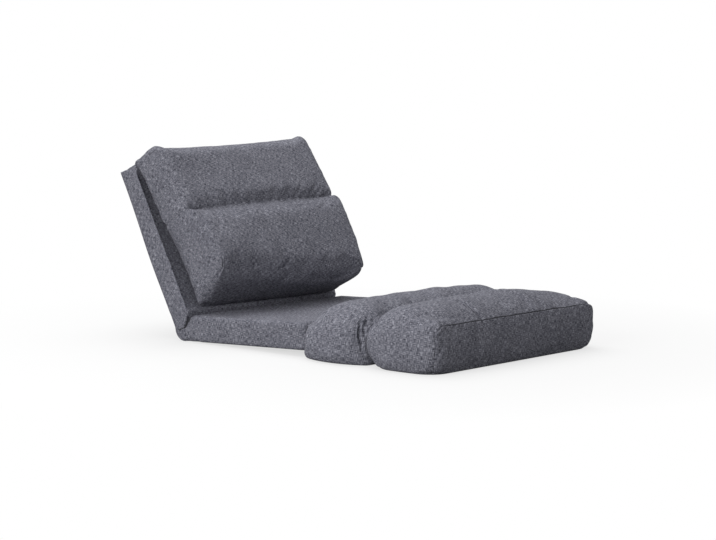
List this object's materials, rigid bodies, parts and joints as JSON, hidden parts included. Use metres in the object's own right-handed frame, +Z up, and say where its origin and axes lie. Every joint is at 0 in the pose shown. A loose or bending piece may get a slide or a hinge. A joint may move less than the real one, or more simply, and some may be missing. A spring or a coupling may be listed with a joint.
{
  "type": "folding floor lounger",
  "caption": "Legless floor lounger in grey fabric: padded seat and back on ratchet hinges, a channelled back cushion and stuffed knee and foot sections that fold up.",
  "frame": {"origin": "on the floor, under the middle of the whole in the pose of the picture", "axes": "+X from the back towards the feet, +Y to the sitter's left, +Z up"},
  "size_m": [1.1566, 0.6752, 0.5315],
  "materials": {
    "grey_linen": "matte",
    "black_lining": "matte",
    "foam": "matte",
    "fibre_fill": "matte",
    "elastic_webbing": "matte",
    "painted_tube": "satin",
    "zinc_plate": "satin",
    "spring_steel": "satin"
  },
  "bodies": {
    "seat": {"hinge_gusset": "grey_linen", "hinge_pin_left": "zinc_plate", "hinge_pin_right": "zinc_plate", "pawl_pin_left": "zinc_plate", "pawl_pin_right": "zinc_plate", "pawl_spring_left": "spring_steel", "pawl_spring_right": "spring_steel", "seat_cover": "grey_linen", "seat_cross_bar": "painted_tube", "seat_foam_base": "foam", "seat_foam_top": "foam", "seat_frame": "painted_tube", "seat_hinge_arm_left": "zinc_plate", "seat_hinge_arm_right": "zinc_plate", "seat_strap_1": "elastic_webbing", "seat_strap_2": "elastic_webbing", "seat_strap_3": "elastic_webbing", "seat_underside": "black_lining"},
    "back": {"back_cover": "grey_linen", "back_cross_bar": "painted_tube", "back_cushion_cover": "grey_linen", "back_cushion_panel": "black_lining", "back_foam_front": "foam", "back_foam_rear": "foam", "back_frame": "painted_tube", "back_hinge_arm_left": "zinc_plate", "back_hinge_arm_right": "zinc_plate", "back_rear_panel": "grey_linen", "back_strap_1": "elastic_webbing", "back_strap_2": "elastic_webbing", "back_strap_3": "elastic_webbing", "head_filling": "fibre_fill", "lumbar_filling": "fibre_fill"},
    "knee": {"knee_base": "black_lining", "knee_cover": "grey_linen", "knee_filling": "fibre_fill"},
    "foot": {"foot_base": "black_lining", "foot_cover": "grey_linen", "foot_filling": "fibre_fill"},
    "pawl_left": {"pawl_left": "spring_steel"},
    "pawl_right": {"pawl_right": "spring_steel"}
  },
  "joints": [
    {"name": "back_recline", "type": "hinge", "parent": "seat", "child": "back", "pos_m": [-0.32384, 0, 0.036], "axis": [0, -1, 0], "range_deg": [-16, 64]},
    {"name": "knee_fold", "type": "hinge", "parent": "seat", "child": "knee", "pos_m": [0.11844, 0, 0.092], "axis": [0, -1, 0], "range_deg": [0, 85]},
    {"name": "foot_fold", "type": "hinge", "parent": "knee", "child": "foot", "pos_m": [0.34644, 0, 0.135], "axis": [0, -1, 0], "range_deg": [0, 140]},
    {"name": "pawl_left_engage", "type": "hinge", "parent": "seat", "child": "pawl_left", "pos_m": [-0.29567, 0.2658, 0.01802], "axis": [0, -1, 0], "range_deg": [0, 13]},
    {"name": "pawl_right_engage", "type": "hinge", "parent": "seat", "child": "pawl_right", "pos_m": [-0.29567, -0.2658, 0.01802], "axis": [0, -1, 0], "range_deg": [0, 13]}
  ],
  "couplings": [
    {"joint": "pawl_right_engage", "follows": "pawl_left_engage", "ratio": 1}
  ]
}
